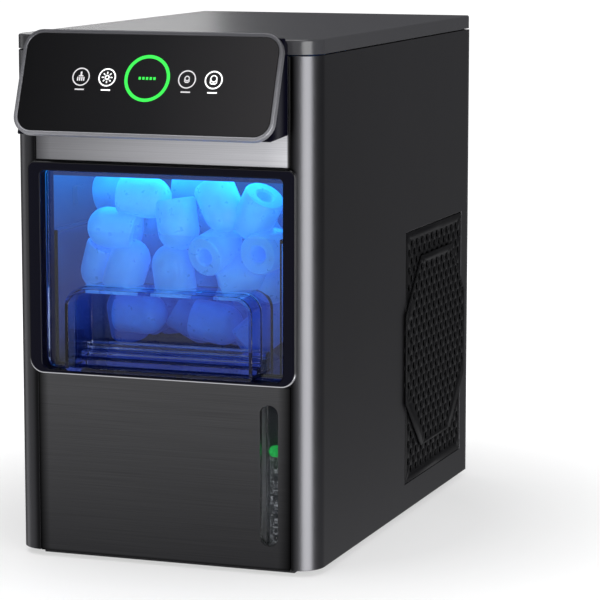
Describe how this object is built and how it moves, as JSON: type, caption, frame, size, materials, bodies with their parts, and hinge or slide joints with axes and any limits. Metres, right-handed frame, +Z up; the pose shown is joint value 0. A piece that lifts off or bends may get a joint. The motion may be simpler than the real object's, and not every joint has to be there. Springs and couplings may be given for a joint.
{
  "type": "countertop ice maker",
  "caption": "Slim countertop ice maker with a pull-out ice drawer behind a clear window, a leaning touch panel, a lift-up lid and side vents.",
  "frame": {"origin": "on the table under the middle of the ice maker's bounding box", "axes": "+Z up, -Y towards the user at the front, +X to the ice maker's right seen from the front"},
  "size_m": [0.214, 0.386, 0.3485],
  "materials": {
    "black_plastic": "fine satin moulding",
    "rubber": "matt",
    "brushed_steel": "horizontal brushing",
    "dark_brushed": "dark horizontal brushing",
    "chrome": "bright plating",
    "dark_steel": "satin dark grey",
    "lid_grey": "satin grey",
    "foam": "matt liner",
    "steel": "plain",
    "gloss_black": "glossy moulding",
    "panel_glass": "gloss black printed face",
    "board": "printed circuit board",
    "liner_grey": "satin",
    "led": "blue light strip",
    "clear_blue": "clear tinted plastic",
    "white_plastic": "satin",
    "clear_plastic": "clear",
    "green_float": "satin",
    "nickel": "nickel-plated copper",
    "enamel_black": "black enamel",
    "aluminium": "fin stock",
    "copper": "copper tube",
    "galvanised": "zinc-coated sheet"
  },
  "bodies": {
    "cabinet": {"base_pan": "black_plastic", "foot_front_left": "rubber", "foot_rear_left": "rubber", "foot_front_right": "rubber", "foot_rear_right": "rubber", "front_frame": "black_plastic", "fascia_band": "brushed_steel", "lower_panel": "dark_brushed", "drawer_bezel": "chrome", "left_side_panel": "dark_steel", "right_side_panel": "dark_steel", "left_vent_grille": "black_plastic", "right_vent_grille": "black_plastic", "rear_panel": "dark_steel", "left_hinge_bracket": "steel", "right_hinge_bracket": "steel", "left_hinge_pin": "steel", "right_hinge_pin": "steel", "panel_housing": "gloss_black", "panel_rim": "chrome", "panel_glass": "panel_glass", "control_board": "board", "bay_liner": "liner_grey", "led_strip": "led", "ice_sensor": "black_plastic", "water_tank": "white_plastic", "sight_window": "clear_plastic", "sight_tube": "clear_plastic", "water_pump": "black_plastic", "supply_hose": "white_plastic", "drain_hose": "white_plastic", "drain_fitting": "black_plastic", "evaporator": "nickel", "tray_motor": "steel", "chamber_frame": "liner_grey", "compressor": "enamel_black", "condenser": "aluminium", "fan_shroud": "black_plastic", "fan_motor": "steel", "filter_drier": "copper", "discharge_line": "copper", "suction_line": "copper", "condenser_line": "copper", "liquid_line": "copper", "power_board": "board", "cord_gland": "rubber", "top_deck": "liner_grey", "partition": "galvanised"},
    "drawer": {"drawer_window": "clear_blue", "drawer_tub": "clear_blue", "drawer_grip": "clear_blue"},
    "lid": {"top_lid": "lid_grey", "lid_insulation": "foam", "left_hinge_leaf": "steel", "right_hinge_leaf": "steel"},
    "float": {"float_ball": "green_float"},
    "tray": {"water_tray": "white_plastic"},
    "shovel": {"ice_shovel": "black_plastic"},
    "fan": {"fan_blades": "black_plastic"},
    "plug": {"drain_plug": "rubber"}
  },
  "joints": [
    {"name": "drawer_slide", "type": "slide", "parent": "cabinet", "child": "drawer", "axis": [0, -1, 0], "range_m": [0, 0.125]},
    {"name": "lid_hinge", "type": "hinge", "parent": "cabinet", "child": "lid", "pos_m": [0, 0.1875, 0.3335], "axis": [-1, 0, 0], "range_deg": [0, 95]},
    {"name": "float_travel", "type": "slide", "parent": "cabinet", "child": "float", "axis": [0, 0, 1], "range_m": [-0.058, 0.028]},
    {"name": "tray_tilt", "type": "hinge", "parent": "cabinet", "child": "tray", "pos_m": [0, -0.0485, 0.298], "axis": [-1, 0, 0], "range_deg": [0, 38]},
    {"name": "shovel_sweep", "type": "hinge", "parent": "cabinet", "child": "shovel", "pos_m": [0, -0.06, 0.31], "axis": [-1, 0, 0], "range_deg": [0, 38]},
    {"name": "fan_spin", "type": "hinge", "parent": "cabinet", "child": "fan", "pos_m": [0.0529, 0.1, 0.11], "axis": [1, 0, 0], "continuous": true},
    {"name": "drain_plug_pull", "type": "slide", "parent": "cabinet", "child": "plug", "axis": [0, 1, 0], "range_m": [0, 0.03]}
  ],
  "couplings": [
    {"joint": "shovel_sweep", "follows": "tray_tilt", "ratio": 1}
  ]
}
